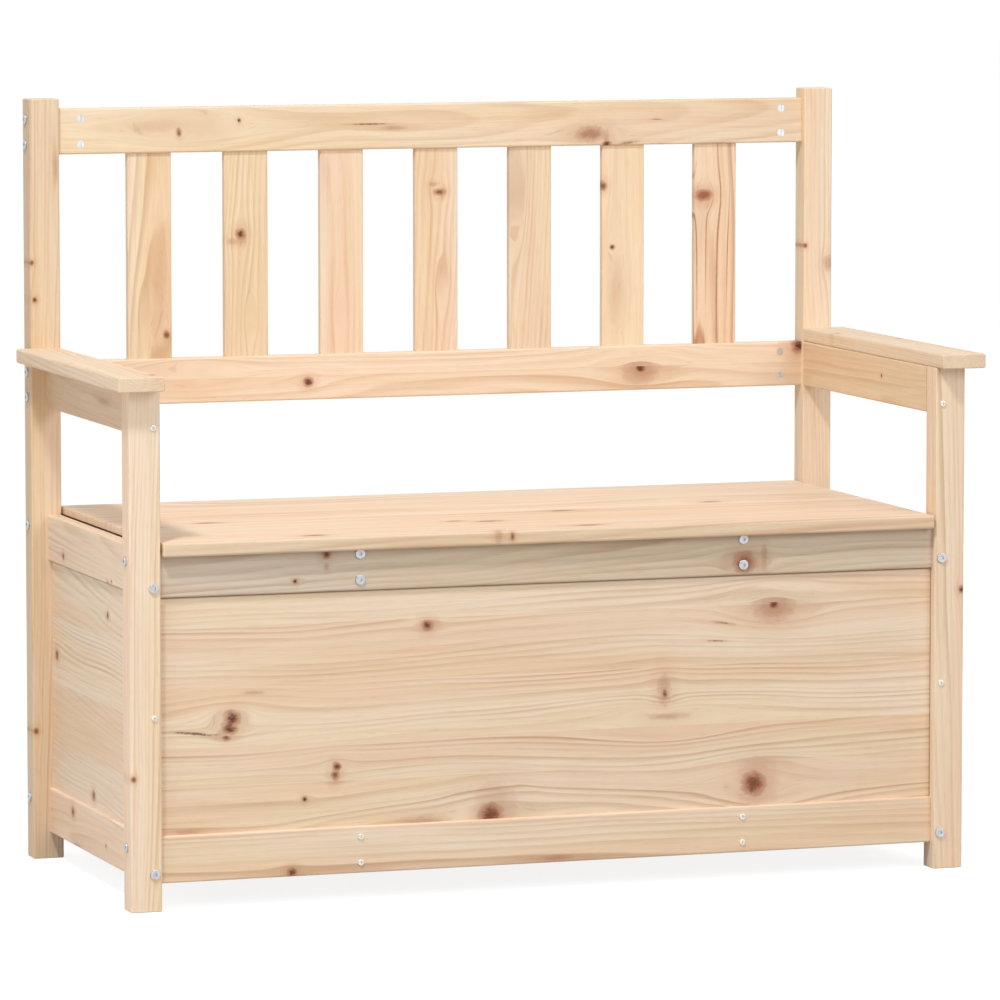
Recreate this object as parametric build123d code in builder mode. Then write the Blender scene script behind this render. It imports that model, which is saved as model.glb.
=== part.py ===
"""A pine storage bench: slatted back, two arms and a panelled box under a hinged seat lid.

Sizes are in millimetres. X runs across the bench, Y from the front to the back and Z upwards.
The origin is on the floor, under the middle of the bench.
"""

from build123d import *
import os

# Overall sizes
post_height = 965.0  # rear posts, floor to top
frame_width = 1088.0  # over the outer faces of the legs
frame_depth = 480.0  # front face of the front legs to rear face of the rear posts
arm_underside = 633.0  # also the height of the front legs
seat_rail_top = 439.0  # the rails that the lid closes on
box_clearance = 33.0  # floor to the underside of the box

# Legs and rails
leg_width = 39.5  # along X
leg_depth = 32.0  # along Y
leg_ease = 2.5
leg_end_ease = 1.0
rail_height = 58.0
rail_thick = 18.0
rail_ease = 2.5
front_setback = 8.0  # front rails behind the front faces of the legs
back_setback = 7.0  # back rails behind the front faces of the posts
post_rise = 12.5  # posts above the top back rail

# Arms
arm_width = 58.0
arm_thick = 18.0
arm_reach = 22.0  # ahead of the front legs
arm_ease = 3.0
arm_end_ease = 1.5  # round the front end

# Back slats
slat_count = 7
slat_width = 58.0
slat_thick = 10.0
slat_ease = 1.5
slat_end_gap = 91.5  # post to the first slat
tenon = 12.0  # slat ends let into the rails

# Box
panel_thick = 9.0
panel_ease = 0.75
tongue = 6.0  # panel edges let into the rails
bearer_inset = 254.5  # middle of a bearer from the inner face of the legs
floor_count = 4
floor_thick = 9.0
floor_gap = 2.0
floor_ease = 1.0
cleat_size = 18.0
cleat_ease = 1.5

# Lid
lid_thick = 9.0
lid_reach = 5.0  # ahead of the front legs
lid_end_gap = 2.5  # to the legs and posts
lid_back_inset = 3.0  # ahead of the rear face of the back rails
lid_ease = 2.0
lip_depth = 9.5
lip_height = 17.0
lip_ease = 3.0
batten_width = 40.0
batten_thick = 18.0
batten_inset = 124.0  # middle of an outer batten from the end of the lid
batten_clear = 5.0  # to the rails in front and behind
batten_ease = 2.0
batten_shares = (0.1, 0.5, 0.9)  # screws along a batten

# Hinges
hinge_inset = 169.0  # middle of a hinge from the end of the lid
hinge_length = 64.0
hinge_middle = 21.4  # length of the knuckle on the lid leaf
leaf_reach = 20.0  # pin axis to the front edge of a leaf
leaf_thick = 1.4
knuckle_radius = 3.2
pin_radius = 1.5
pin_overhang = 0.6
hinge_screw_pitch = 22.0
hinge_screw_set = 11.5  # pin axis to the screws

# Connector bolts and their barrel nuts
bolt_radius = 3.0
bolt_head_radius = 6.25
bolt_head_height = 2.5
bolt_head_ease = 0.8
bolt_tail = 6.0  # past the middle of the nut
socket_flats = 4.0
socket_depth = 1.8
nut_radius = 5.0
nut_length = 14.0
nut_sink = 0.3  # below the face that it goes in from
nut_distance = 30.0  # end of the rail to the middle of the nut
nut_wall = 1.5
slot_width = 1.2
slot_depth = 1.0

# Screws and dowels
screw_radius = 2.0
screw_length = 50.0
screw_head_radius = 3.8
screw_head_height = 1.8
screw_head_ease = 0.9
wood_screw_radius = 1.75
wood_screw_length = 25.0
wood_screw_head_radius = 3.4
hinge_screw_radius = 1.4
hinge_screw_length = 7.0
hinge_screw_head_radius = 2.6
countersink_angle = 90.0
point_share = 0.9  # of a screw's radius, taken off its tip
cross_reach = 0.55  # shares of a screw head's radius: the crossed slots in it
cross_half_width = 0.12
cross_depth = 0.35
dowel_radius = 4.0
dowel_length = 30.0
dowel_in_arm = 12.0
dowel_ease = 1.0

# Clearances
slip = 0.1  # each side of a tongue or a tenon
end_room = 0.5  # past the end of a tongue, tenon, nut, bolt, screw or dowel
butt_gap = 0.2  # end of a panel to a leg
floor_edge_gap = 0.5
bolt_gap = 0.25  # round a bolt
nut_gap = 0.1  # round a nut or a dowel
screw_gap = 0.05  # round a screw
lid_gap = 0.3  # lid above its rails
pin_gap = 0.05
knuckle_gap = 0.3

# Places across the bench
half_width = frame_width / 2
inner = half_width - leg_width
side_rail = (inner, inner + rail_thick)
side_middle = inner + rail_thick / 2
panel_inset = (rail_thick - panel_thick) / 2
side_panel = (inner + panel_inset, inner + panel_inset + panel_thick)
bearer_middle = inner - bearer_inset
lid_end = inner - lid_end_gap

# Places from front to back
front = arm_reach - (arm_reach + frame_depth + bolt_head_height) / 2
back = front + frame_depth
leg_back = front + leg_depth
post_front = back - leg_depth
front_rail = (front + front_setback, front + front_setback + rail_thick)
back_rail = (post_front + back_setback, post_front + back_setback + rail_thick)
front_middle = sum(front_rail) / 2
back_middle = sum(back_rail) / 2
front_panel_y = (front_rail[0] + panel_inset, front_rail[1] - panel_inset)
rear_panel_y = (back_rail[0] + panel_inset, back_rail[1] - panel_inset)
lid_y = (front - lid_reach, back_rail[1] - lid_back_inset)

# Heights
bottom_rail = (box_clearance, box_clearance + rail_height)
seat_rail = (seat_rail_top - rail_height, seat_rail_top)
arm_rail = (arm_underside - rail_height, arm_underside)
top_rail = (post_height - post_rise - rail_height, post_height - post_rise)
panel_z = (bottom_rail[1] - tongue, seat_rail[0] + tongue)
slat_z = (arm_rail[1] - tenon, top_rail[0] + tenon)
lid_z = (seat_rail_top + lid_gap, seat_rail_top + lid_gap + lid_thick)
bolt_edge = tongue + end_room + nut_radius + nut_wall  # edge of a rail to a bolt

sides = {"left": -1, "right": 1}
ends = {front: -1, back: 1}
os.makedirs("parts", exist_ok=True)


def write(builder, name):
    """Label a finished piece and write it to its own file."""
    builder.part.label = name
    export_step(builder.part, f"parts/{name}.step")


def across(side, limits):
    """The X limits of a piece on one side of the bench, lower one first."""
    return tuple(sorted(side * limit for limit in limits))


def spread(middle, width):
    """The limits of a width about its middle."""
    return (middle - width / 2, middle + width / 2)


def block(x, y, z, mode=Mode.ADD):
    """A box between three pairs of limits."""
    with Locations((sum(x) / 2, sum(y) / 2, sum(z) / 2)):
        Box(x[1] - x[0], y[1] - y[0], z[1] - z[0], mode=mode)


def drill(places, radius, depth):
    """A hole at each place, from its face inwards."""
    with Locations(*places):
        Hole(radius, depth=depth)


def board(name, x, y, z, grain, ease, end_ease=0.0, cuts=(), bores=()):
    """One board with the edges along its grain rounded over, then its housings and holes."""
    with BuildPart() as piece:
        with BuildSketch(Plane.XY.offset(z[0])):
            with Locations((sum(x) / 2, sum(y) / 2)):
                Rectangle(x[1] - x[0], y[1] - y[0])
        extrude(amount=z[1] - z[0])
        fillet(piece.edges().filter_by(grain), radius=ease)
        if end_ease:
            both_ends = piece.faces().sort_by(grain)
            chamfer(both_ends[0].edges() + both_ends[-1].edges(), length=end_ease)
        for cut_x, cut_y, cut_z in cuts:
            block(cut_x, cut_y, cut_z, mode=Mode.SUBTRACT)
        for places, radius, depth in bores:
            drill(places, radius, depth)
    write(piece, name)


# Places of the fasteners: each plane lies on the face under the head and points out of it


def along_x(side, y, heights):
    """Bolts through a leg or a post into the end of a rail that runs across the bench."""
    x = side * half_width
    return [Plane(origin=(x, y, z), x_dir=(0, 1, 0), z_dir=(side, 0, 0)) for z in heights]


def along_y(face, out, x, heights):
    """Fasteners through a face that looks to the front or the back."""
    return [Plane(origin=(x, face, z), x_dir=(1, 0, 0), z_dir=(0, out, 0)) for z in heights]


def nuts(bolts, grip, entry):
    """A nut on each bolt: a plane on the face it goes in from, with X along the bolt."""
    places = []
    for bolt in bolts:
        middle = bolt.origin - bolt.z_dir * (grip + nut_distance)
        face = middle + Vector(*entry) * (rail_thick / 2)
        places.append(Plane(origin=face, x_dir=bolt.z_dir, z_dir=entry))
    return places


def both(limits):
    """Two bolt heights in a rail, one near each edge."""
    return [limits[0] + bolt_edge, limits[1] - bolt_edge]


def upper(limits):
    """The upper bolt height in a rail."""
    return [limits[1] - bolt_edge]


def lower(limits):
    """The lower bolt height in a rail."""
    return [limits[0] + bolt_edge]


rail_bolt_length = leg_width + nut_distance + bolt_tail
frame_bolt_length = leg_depth + nut_distance + bolt_tail
bearer_bolt_length = rail_thick + nut_distance + bolt_tail

inward_front = (0, -1, 0)
inward_back = (0, 1, 0)
cross_rails = {
    "back_top_rail": (back_rail, top_rail, both(top_rail), inward_front),
    "back_lower_rail": (back_rail, arm_rail, both(arm_rail), inward_front),
    "rear_top_rail": (back_rail, seat_rail, upper(seat_rail), inward_front),
    "rear_bottom_rail": (back_rail, bottom_rail, upper(bottom_rail), inward_front),
    "front_top_rail": (front_rail, seat_rail, upper(seat_rail), inward_back),
    "front_bottom_rail": (front_rail, bottom_rail, upper(bottom_rail), inward_back),
}


def rail_bolts_of(name, side):
    """The bolts at one end of a cross rail."""
    y, _, heights, _ = cross_rails[name]
    return along_x(side, sum(y) / 2, heights)


def rail_nuts_of(name):
    """The nuts of a cross rail, at both ends."""
    entry = cross_rails[name][3]
    return [place for s in sides.values() for place in nuts(rail_bolts_of(name, s), leg_width, entry)]


def frame_bolts_of(side, limits):
    """The bolts at both ends of a side rail."""
    x = side * side_middle
    return [place for face, out in ends.items() for place in along_y(face, out, x, lower(limits))]


bearer_faces = {front_rail[0]: -1, back_rail[1]: 1}


def bearer_places(side, limits):
    """The fasteners at both ends of a bearer."""
    x = side * bearer_middle
    return [place for face, out in bearer_faces.items() for place in along_y(face, out, x, both(limits))]


arm_screw_heights = {front: lower(arm_rail), back: [sum(arm_rail) / 2]}
panel_screw_height = [sum(panel_z) / 2]


def arm_screws_of(side):
    """The screws at both ends of an arm rail."""
    x = side * side_middle
    return [place for face, out in ends.items() for place in along_y(face, out, x, arm_screw_heights[face])]


def panel_screws_of(side):
    """The screws at both ends of a side panel."""
    x = side * side_middle
    return [place for face, out in ends.items() for place in along_y(face, out, x, panel_screw_height)]


def upright_dowels(side):
    """Dowels under an armrest, two in its rail and one in its leg."""
    thirds = (post_front - leg_back) / 3
    spots = [(side_middle, leg_back + thirds), (side_middle, leg_back + 2 * thirds)]
    spots.append((inner + leg_width / 2, front + leg_depth / 2))
    return [Plane(origin=(side * x, y, arm_underside)) for x, y in spots]


def back_dowel(side):
    """The dowel from an armrest into the front face of its post."""
    spot = (side * (inner + leg_width / 2), post_front, arm_underside + arm_thick / 2)
    return Plane(origin=spot, x_dir=(1, 0, 0), z_dir=(0, -1, 0))


def flipped(plane):
    """The same place, pointing the other way."""
    return Plane(origin=plane.origin, x_dir=plane.x_dir, z_dir=-plane.z_dir)


bolt_bore = bolt_radius + bolt_gap
nut_bore = nut_radius + nut_gap
screw_bore = screw_radius + screw_gap
dowel_bore = dowel_radius + nut_gap
nut_depth = nut_sink + nut_length + end_room
dowel_in_post = dowel_length - dowel_in_arm
front_cross_rails = ["front_top_rail", "front_bottom_rail"]
rear_cross_rails = [name for name in cross_rails if name not in front_cross_rails]

# Legs and posts
for label, side in sides.items():
    x = across(side, (inner, half_width))
    side_bolts = frame_bolts_of(side, seat_rail) + frame_bolts_of(side, bottom_rail)
    side_screws = arm_screws_of(side) + panel_screws_of(side)
    for leg, y, height, rails in (
        ("front_leg", (front, leg_back), arm_underside, front_cross_rails),
        ("rear_post", (post_front, back), post_height, rear_cross_rails),
    ):
        end_bolts = [place for name in rails for place in rail_bolts_of(name, side)]
        dowel = upright_dowels(side)[2:] if leg == "front_leg" else [back_dowel(side)]
        board(
            f"{leg}_{label}", x, y, (0, height), Axis.Z, leg_ease, leg_end_ease,
            bores=[
                (end_bolts, bolt_bore, rail_bolt_length),
                ([place for place in side_bolts if y[0] <= place.origin.Y <= y[1]], bolt_bore, leg_depth),
                ([place for place in side_screws if y[0] <= place.origin.Y <= y[1]], screw_bore, leg_depth),
                (dowel, dowel_bore, dowel_in_post + end_room),
            ],
        )

# Rails across the bench
slat_pitch = (2 * (inner - slat_end_gap) - slat_width) / (slat_count - 1)
slat_middles = [(i - (slat_count - 1) / 2) * slat_pitch for i in range(slat_count)]
slat_mortise_y = spread(back_middle, slat_thick + 2 * slip)
groove = panel_thick + 2 * slip
groove_depth = tongue + end_room
mortise_depth = tenon + end_room
span = (-inner, inner)


def mortises(z):
    """The housings of the slats between two heights."""
    return [(spread(x, slat_width + 2 * slip), slat_mortise_y, z) for x in slat_middles]


hinge_middles = [side * (lid_end - hinge_inset) for side in sides.values()]
pin_y = back_rail[1] + knuckle_radius + knuckle_gap
pin_z = seat_rail_top + lid_gap / 2
leaf_front = pin_y - leaf_reach
hinge_screw_y = pin_y - hinge_screw_set


def hinge_screw_places(z, out):
    """The screws of the hinge leaves on one face."""
    spots = [middle + step * hinge_screw_pitch for middle in hinge_middles for step in (-1, 0, 1)]
    return [Plane(origin=(x, hinge_screw_y, z), z_dir=(0, 0, out)) for x in spots]


hinge_housings = [
    (spread(middle, hinge_length + 2 * slip), (leaf_front - slip, back_rail[1]),
     (seat_rail_top - leaf_thick, seat_rail_top))
    for middle in hinge_middles
]
frame_hinge_screws = hinge_screw_places(seat_rail_top, 1)
lid_hinge_screws = hinge_screw_places(lid_z[0], -1)
seat_bearer_bolts = [place for side in sides.values() for place in bearer_places(side, seat_rail)]
floor_bearer_screws = [place for side in sides.values() for place in bearer_places(side, bottom_rail)]
housings = {
    "back_top_rail": mortises((top_rail[0], top_rail[0] + mortise_depth)),
    "back_lower_rail": mortises((arm_rail[1] - mortise_depth, arm_rail[1])),
    "rear_top_rail": hinge_housings
    + [(span, spread(back_middle, groove), (seat_rail[0], seat_rail[0] + groove_depth))],
    "rear_bottom_rail": [
        (span, spread(back_middle, groove), (bottom_rail[1] - groove_depth, bottom_rail[1]))
    ],
    "front_top_rail": [(span, spread(front_middle, groove), (seat_rail[0], seat_rail[0] + groove_depth))],
    "front_bottom_rail": [
        (span, spread(front_middle, groove), (bottom_rail[1] - groove_depth, bottom_rail[1]))
    ],
}
bearer_bores = {
    "rear_top_rail": [
        ([place for place in seat_bearer_bolts if place.origin.Y > 0], bolt_bore, rail_thick),
        (frame_hinge_screws, hinge_screw_radius + screw_gap, hinge_screw_length + end_room),
    ],
    "front_top_rail": [
        ([place for place in seat_bearer_bolts if place.origin.Y < 0], bolt_bore, rail_thick)
    ],
    "rear_bottom_rail": [
        ([place for place in floor_bearer_screws if place.origin.Y > 0], screw_bore, rail_thick)
    ],
    "front_bottom_rail": [
        ([place for place in floor_bearer_screws if place.origin.Y < 0], screw_bore, rail_thick)
    ],
}
for name, (y, z, _, _) in cross_rails.items():
    end_bolts = [place for side in sides.values() for place in rail_bolts_of(name, side)]
    board(
        name, span, y, z, Axis.X, rail_ease,
        cuts=housings[name],
        bores=[
            (end_bolts, bolt_bore, rail_bolt_length + end_room),
            (rail_nuts_of(name), nut_bore, nut_depth),
        ]
        + bearer_bores.get(name, []),
    )

# Back slats
for number, middle in enumerate(slat_middles, start=1):
    board(
        f"back_slat_{number}", spread(middle, slat_width), spread(back_middle, slat_thick), slat_z,
        Axis.Z, slat_ease,
    )

# Places of the floor boards, their bearers and their cleats
bearer_span = (front_rail[1], back_rail[0])
floor_y = (front_panel_y[1] + floor_edge_gap, rear_panel_y[0] - floor_edge_gap)
floor_width = (floor_y[1] - floor_y[0] - (floor_count - 1) * floor_gap) / floor_count
floor_x = (-inner + floor_edge_gap, inner - floor_edge_gap)
floor_z = (bottom_rail[1], bottom_rail[1] + floor_thick)
floor_middles = [floor_y[0] + floor_width / 2 + i * (floor_width + floor_gap) for i in range(floor_count)]
cleat = (inner - cleat_size, inner)
cleat_z = (bottom_rail[1] - cleat_size, bottom_rail[1])
wood_screw_bore = wood_screw_radius + screw_gap
wood_screw_sink = wood_screw_head_radius + screw_gap


def floor_screws_at(x):
    """The screws down through the floor boards, in one row from front to back."""
    return [Plane(origin=(x, y, floor_z[1])) for y in floor_middles]


def cleat_screws_at(side):
    """The screws through a cleat into its side rail."""
    x, z = side * cleat[0], cleat_z[0] + cleat_size / 3
    rows = [floor_middles[0], sum(floor_y) / 2, floor_middles[-1]]
    return [Plane(origin=(x, y, z), x_dir=(0, 1, 0), z_dir=(-side, 0, 0)) for y in rows]


# Arms, side rails and side panels
side_span = (leg_back, post_front)
panel_groove = (inner + panel_inset - slip, inner + panel_inset + panel_thick + slip)
for label, side in sides.items():
    entry = (-side, 0, 0)
    rail_x = across(side, side_rail)
    groove_x = across(side, panel_groove)
    board(
        f"arm_rail_{label}", rail_x, side_span, arm_rail, Axis.Y, rail_ease,
        bores=[
            (arm_screws_of(side), screw_bore, screw_length + end_room),
            (upright_dowels(side)[:2], dowel_bore, dowel_in_post + end_room),
        ],
    )
    for rail, z, groove_z, screws in (
        ("side_top_rail", seat_rail, (seat_rail[0], seat_rail[0] + groove_depth), []),
        (
            "side_bottom_rail", bottom_rail, (bottom_rail[1] - groove_depth, bottom_rail[1]),
            [(cleat_screws_at(side), wood_screw_bore, wood_screw_length + end_room)],
        ),
    ):
        bolts = frame_bolts_of(side, z)
        board(
            f"{rail}_{label}", rail_x, side_span, z, Axis.Y, rail_ease,
            cuts=[(groove_x, side_span, groove_z)],
            bores=[
                (bolts, bolt_bore, frame_bolt_length + end_room),
                (nuts(bolts, leg_depth, entry), nut_bore, nut_depth),
            ]
            + screws,
        )
    with BuildPart() as armrest:
        block(
            across(side, (inner, inner + arm_width)),
            (front - arm_reach, post_front),
            (arm_underside, arm_underside + arm_thick),
        )
        fillet(armrest.edges().filter_by(Axis.Y), radius=arm_ease)
        fillet(armrest.faces().sort_by(Axis.Y)[0].edges(), radius=arm_end_ease)
        drill([flipped(place) for place in upright_dowels(side)], dowel_bore, dowel_in_arm + end_room)
        drill([flipped(back_dowel(side))], dowel_bore, dowel_in_arm + end_room)
    write(armrest, f"armrest_{label}")

# Panels
panel_span = (-inner + butt_gap, inner - butt_gap)
board("front_panel", panel_span, front_panel_y, panel_z, Axis.X, panel_ease)
board("rear_panel", panel_span, rear_panel_y, panel_z, Axis.X, panel_ease)
for label, side in sides.items():
    board(
        f"side_panel_{label}", across(side, side_panel), (leg_back + butt_gap, post_front - butt_gap),
        panel_z, Axis.Y, panel_ease,
        bores=[(panel_screws_of(side), screw_bore, screw_length + end_room)],
    )

# Bearers, floor boards and cleats
for number, middle in enumerate(floor_middles, start=1):
    with BuildPart() as floor_board:
        block(floor_x, spread(middle, floor_width), floor_z)
        fillet(floor_board.edges().filter_by(Axis.X), radius=floor_ease)
        with Locations(*[(s * bearer_middle, middle, floor_z[1]) for s in sides.values()]):
            CounterSinkHole(wood_screw_bore, wood_screw_sink, counter_sink_angle=countersink_angle)
    write(floor_board, f"floor_board_{number}")

for label, side in sides.items():
    x = spread(side * bearer_middle, rail_thick)
    bolts = bearer_places(side, seat_rail)
    board(
        f"seat_bearer_{label}", x, bearer_span, seat_rail, Axis.Y, rail_ease,
        bores=[
            (bolts, bolt_bore, bearer_bolt_length + end_room),
            (nuts(bolts, rail_thick, (-side, 0, 0)), nut_bore, nut_depth),
        ],
    )
    board(
        f"floor_bearer_{label}", x, bearer_span, bottom_rail, Axis.Y, rail_ease,
        bores=[
            (bearer_places(side, bottom_rail), screw_bore, screw_length + end_room),
            (floor_screws_at(side * bearer_middle), wood_screw_bore, wood_screw_length + end_room),
        ],
    )
    with BuildPart() as floor_cleat:
        block(across(side, cleat), bearer_span, cleat_z)
        fillet(floor_cleat.edges().filter_by(Axis.Y), radius=cleat_ease)
        with Locations(*cleat_screws_at(side)):
            CounterSinkHole(wood_screw_bore, wood_screw_sink, counter_sink_angle=countersink_angle)
    write(floor_cleat, f"floor_cleat_{label}")

# Lid: a glued panel, the lip along its front edge and the battens under it
lid_x = (-lid_end, lid_end)
lip_y = (lid_y[0], lid_y[0] + lip_depth)
batten_middles = {"left": batten_inset - lid_end, "middle": 0.0, "right": lid_end - batten_inset}
batten_y = (front_rail[1] + batten_clear, back_rail[0] - batten_clear)
batten_z = (lid_z[0] - batten_thick, lid_z[0])
batten_rows = [batten_y[0] + share * (batten_y[1] - batten_y[0]) for share in batten_shares]


def batten_screws_at(middle):
    """The screws up through a batten into the lid."""
    return [Plane(origin=(middle, y, batten_z[0]), z_dir=(0, 0, -1)) for y in batten_rows]


batten_screws = [place for middle in batten_middles.values() for place in batten_screws_at(middle)]
with BuildPart() as lid_panel:
    block(lid_x, (lip_y[1], lid_y[1]), lid_z)
    fillet(lid_panel.faces().sort_by(Axis.Y)[-1].edges().group_by(Axis.Z)[-1], radius=lid_ease)
    fillet(lid_panel.edges().filter_by(Axis.Y).group_by(Axis.Z)[-1], radius=lid_ease)
    for middle in hinge_middles:
        block(
            spread(middle, hinge_length + 2 * slip), (leaf_front - slip, lid_y[1]),
            (lid_z[0], lid_z[0] + leaf_thick), mode=Mode.SUBTRACT,
        )
    drill(lid_hinge_screws, hinge_screw_radius + screw_gap, hinge_screw_length + end_room)
    drill(batten_screws, wood_screw_bore, wood_screw_length + end_room)
write(lid_panel, "lid_panel")

with BuildPart() as lid_lip:
    block(lid_x, lip_y, (lid_z[1] - lip_height, lid_z[1]))
    fillet(lid_lip.faces().sort_by(Axis.Y)[0].edges().filter_by(Axis.X), radius=lip_ease)
    fillet(lid_lip.edges().filter_by(Axis.Y).group_by(Axis.Z)[-1], radius=lid_ease)
write(lid_lip, "lid_lip")

for label, middle in batten_middles.items():
    with BuildPart() as lid_batten:
        block(spread(middle, batten_width), batten_y, batten_z)
        fillet(lid_batten.edges().filter_by(Axis.Y).group_by(Axis.Z)[0], radius=batten_ease)
        with Locations(*batten_screws_at(middle)):
            CounterSinkHole(wood_screw_bore, wood_screw_sink, counter_sink_angle=countersink_angle)
    write(lid_batten, f"lid_batten_{label}")

# Hinges: a leaf let into the rail, a leaf let into the lid and the pin through their knuckles
knuckle_clear = knuckle_radius + knuckle_gap
for label, middle in zip(sides, hinge_middles):
    leaf_x = spread(middle, hinge_length)
    middle_x = spread(middle, hinge_middle)
    gap_x = spread(middle, hinge_middle + 2 * knuckle_gap)
    end_knuckles = [(leaf_x[0], gap_x[0]), (gap_x[1], leaf_x[1])]
    for leaf, z, out, knuckles, gaps in (
        ("frame", (seat_rail_top - leaf_thick, seat_rail_top), 1, end_knuckles, [gap_x]),
        ("lid", (lid_z[0], lid_z[0] + leaf_thick), -1, [middle_x], [
            (leaf_x[0], middle_x[0]), (middle_x[1], leaf_x[1])
        ]),
    ):
        with BuildPart() as hinge_leaf:
            block(leaf_x, (leaf_front, pin_y), z)
            for gap in gaps:
                block(gap, (pin_y - knuckle_clear, pin_y), z, mode=Mode.SUBTRACT)
            for start, end in knuckles:
                with BuildSketch(Plane.YZ.offset(start)):
                    with Locations((pin_y, pin_z)):
                        Circle(knuckle_radius)
                extrude(amount=end - start)
            with BuildSketch(Plane.YZ.offset(leaf_x[0])):
                with Locations((pin_y, pin_z)):
                    Circle(pin_radius + pin_gap)
            extrude(amount=hinge_length, mode=Mode.SUBTRACT)
            places = hinge_screw_places(z[1] if out > 0 else z[0], out)
            with Locations(*[place for place in places if abs(place.origin.X - middle) < hinge_length / 2]):
                CounterSinkHole(
                    hinge_screw_radius + screw_gap, hinge_screw_head_radius + screw_gap,
                    counter_sink_angle=countersink_angle,
                )
        write(hinge_leaf, f"hinge_{leaf}_leaf_{label}")
    with BuildPart() as hinge_pin:
        with BuildSketch(Plane.YZ.offset(leaf_x[0] - pin_overhang)):
            with Locations((pin_y, pin_z)):
                Circle(pin_radius)
        extrude(amount=hinge_length + 2 * pin_overhang)
        chamfer(hinge_pin.edges().filter_by(GeomType.CIRCLE), length=pin_overhang / 2)
    write(hinge_pin, f"hinge_pin_{label}")


# Fasteners: one of each kind along Z, head up at the origin, then a copy at every place


def connector_bolt(length):
    """A flat-headed bolt with a hexagon socket."""
    with BuildPart() as bolt:
        with BuildSketch():
            Circle(bolt_head_radius)
        extrude(amount=bolt_head_height)
        fillet(bolt.edges().group_by(Axis.Z)[-1], radius=bolt_head_ease)
        with BuildSketch(Plane.XY.offset(bolt_head_height)):
            RegularPolygon(socket_flats / 2, 6, major_radius=False)
        extrude(amount=-socket_depth, mode=Mode.SUBTRACT)
        with BuildSketch():
            Circle(bolt_radius)
        extrude(amount=-length)
    return bolt.part


def barrel_nut():
    """A cylinder across the rail, bored for the bolt and slotted on the end that shows."""
    with BuildPart() as nut:
        with BuildSketch(Plane.XY.offset(-nut_sink)):
            Circle(nut_radius)
        extrude(amount=-nut_length)
        with BuildSketch(Plane.XY.offset(-nut_sink)):
            Rectangle(slot_width, 2 * nut_radius)
        extrude(amount=-slot_depth, mode=Mode.SUBTRACT)
        with BuildSketch(Plane.YZ.offset(-nut_radius)):
            with Locations((0, -rail_thick / 2)):
                Circle(bolt_radius + nut_gap)
        extrude(amount=2 * nut_radius, mode=Mode.SUBTRACT)
    return nut.part


def cross_slots(top, head_radius):
    """Two crossed slots in the top of a screw head."""
    reach = cross_reach * head_radius
    half = cross_half_width * head_radius
    depth = (top - cross_depth * head_radius, top)
    block((-reach, reach), (-half, half), depth, mode=Mode.SUBTRACT)
    block((-half, half), (-reach, reach), depth, mode=Mode.SUBTRACT)


def pan_screw():
    """A screw whose rounded head stands on the face."""
    with BuildPart() as screw:
        with BuildSketch():
            Circle(screw_head_radius)
        extrude(amount=screw_head_height)
        fillet(screw.edges().group_by(Axis.Z)[-1], radius=screw_head_ease)
        with BuildSketch():
            Circle(screw_radius)
        extrude(amount=-screw_length)
        chamfer(screw.edges().group_by(Axis.Z)[0], length=point_share * screw_radius)
        cross_slots(screw_head_height, screw_head_radius)
    return screw.part


def sunk_screw(radius, head_radius, length):
    """A countersunk screw, flush with the face, turned from its half outline."""
    cone = head_radius - radius
    point = point_share * radius
    with BuildPart() as screw:
        with BuildSketch(Plane.XZ):
            with BuildLine():
                Polyline(
                    (0, 0), (head_radius, 0), (radius, -cone), (radius, point - length),
                    (radius - point, -length), (0, -length), close=True,
                )
            make_face()
        revolve(axis=Axis.Z)
        cross_slots(0, head_radius)
    return screw.part


def dowel_pin():
    """A wooden dowel with its ends eased, standing out of the face by what goes into the arm."""
    with BuildPart() as dowel:
        with BuildSketch(Plane.XY.offset(-dowel_in_post)):
            Circle(dowel_radius)
        extrude(amount=dowel_length)
        chamfer(dowel.edges().filter_by(GeomType.CIRCLE), length=dowel_ease)
    return dowel.part


def scatter(name, fastener, places):
    """Copies of one fastener, all in one group."""
    with BuildPart() as group:
        with Locations(*places):
            add(fastener)
    write(group, name)


end_bolts = [place for s in sides.values() for name in cross_rails for place in rail_bolts_of(name, s)]
side_bolts = []
all_nuts = [place for name in cross_rails for place in rail_nuts_of(name)]
floor_places = []
for side in sides.values():
    entry = (-side, 0, 0)
    for z in (seat_rail, bottom_rail):
        side_bolts += frame_bolts_of(side, z)
        all_nuts += nuts(frame_bolts_of(side, z), leg_depth, entry)
    all_nuts += nuts(bearer_places(side, seat_rail), rail_thick, entry)
    floor_places += floor_screws_at(side * bearer_middle) + cleat_screws_at(side)

scatter("rail_bolts", connector_bolt(rail_bolt_length), end_bolts)
scatter("side_frame_bolts", connector_bolt(frame_bolt_length), side_bolts)
scatter("bearer_bolts", connector_bolt(bearer_bolt_length), seat_bearer_bolts)
scatter("barrel_nuts", barrel_nut(), all_nuts)
side_screws = [place for s in sides.values() for place in arm_screws_of(s) + panel_screws_of(s)]
scatter("frame_screws", pan_screw(), side_screws + floor_bearer_screws)
wood_screw = sunk_screw(wood_screw_radius, wood_screw_head_radius, wood_screw_length)
scatter("floor_screws", wood_screw, floor_places)
scatter("batten_screws", wood_screw, batten_screws)
hinge_screw = sunk_screw(hinge_screw_radius, hinge_screw_head_radius, hinge_screw_length)
scatter("hinge_frame_screws", hinge_screw, frame_hinge_screws)
scatter("hinge_lid_screws", hinge_screw, lid_hinge_screws)
dowel_places = [place for s in sides.values() for place in upright_dowels(s) + [back_dowel(s)]]
scatter("arm_dowels", dowel_pin(), dowel_places)
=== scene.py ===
"""The looks of the pine storage bench: every board with its own grain and knots, and zinc-plated fittings.

Places and sizes of grain and knots are in millimetres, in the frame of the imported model.
"""

import math

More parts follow.
